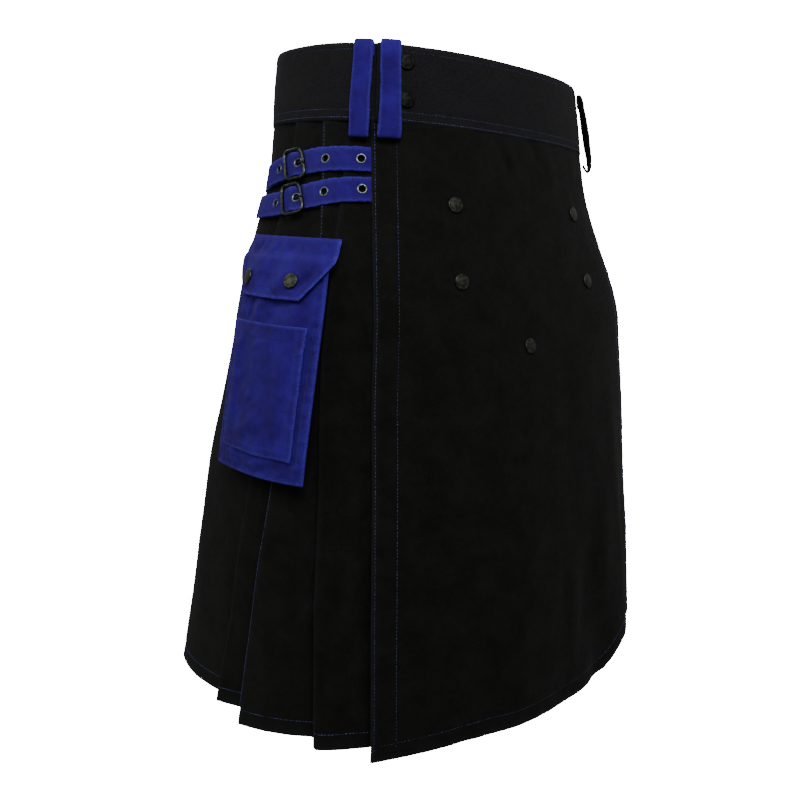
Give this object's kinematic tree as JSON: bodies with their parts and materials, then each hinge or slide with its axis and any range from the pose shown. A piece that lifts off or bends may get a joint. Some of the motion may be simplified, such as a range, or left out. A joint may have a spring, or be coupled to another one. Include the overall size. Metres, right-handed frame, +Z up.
{
  "type": "utility kilt",
  "caption": "Worn knee-length wrap kilt of heavy drill: flat apron, side and back pleats, belt loops, side adjusting straps with buckles and flapped side pockets.",
  "frame": {"origin": "centre of the wearer's waist, halfway down the waistband", "axes": "+Z up, the apron faces -Y, +X is the wearer's left"},
  "size_m": [0.4986, 0.4146, 0.6394],
  "materials": {
    "black_drill": "black cotton drill with pale blue stitching",
    "blue_drill": "royal blue cotton drill",
    "dark_metal": "dark gunmetal"
  },
  "bodies": {
    "root": {"apron": "black_drill", "buckle_lower_left": "dark_metal", "buckle_lower_right": "dark_metal", "buckle_upper_left": "dark_metal", "buckle_upper_right": "dark_metal", "chape_lower_left": "blue_drill", "chape_lower_right": "blue_drill", "chape_upper_left": "blue_drill", "chape_upper_right": "blue_drill", "loop_back_centre": "black_drill", "loop_back_left": "black_drill", "loop_back_right": "black_drill", "loop_front_left": "black_drill", "loop_front_overlap": "blue_drill", "loop_front_right": "blue_drill", "pleats_back": "black_drill", "pleats_left": "black_drill", "pleats_right": "black_drill", "pocket_bag_left": "blue_drill", "pocket_bag_right": "blue_drill", "pocket_flap_left": "blue_drill", "pocket_flap_right": "blue_drill", "pocket_patch_left": "blue_drill", "pocket_patch_right": "blue_drill", "prong_lower_left": "dark_metal", "prong_lower_right": "dark_metal", "prong_upper_left": "dark_metal", "prong_upper_right": "dark_metal", "strap_lower_left": "blue_drill", "strap_lower_right": "blue_drill", "strap_upper_left": "blue_drill", "strap_upper_right": "blue_drill", "stud_apron_foot": "dark_metal", "stud_apron_lower_left": "dark_metal", "stud_apron_lower_right": "dark_metal", "stud_apron_upper_left": "dark_metal", "stud_apron_upper_right": "dark_metal", "stud_band_lower": "dark_metal", "stud_band_upper": "dark_metal", "stud_pocket_back_left": "dark_metal", "stud_pocket_back_right": "dark_metal", "stud_pocket_front_left": "dark_metal", "stud_pocket_front_right": "dark_metal", "under_apron": "black_drill", "waistband_back": "black_drill", "waistband_front": "black_drill"}
  },
  "joints": []
}
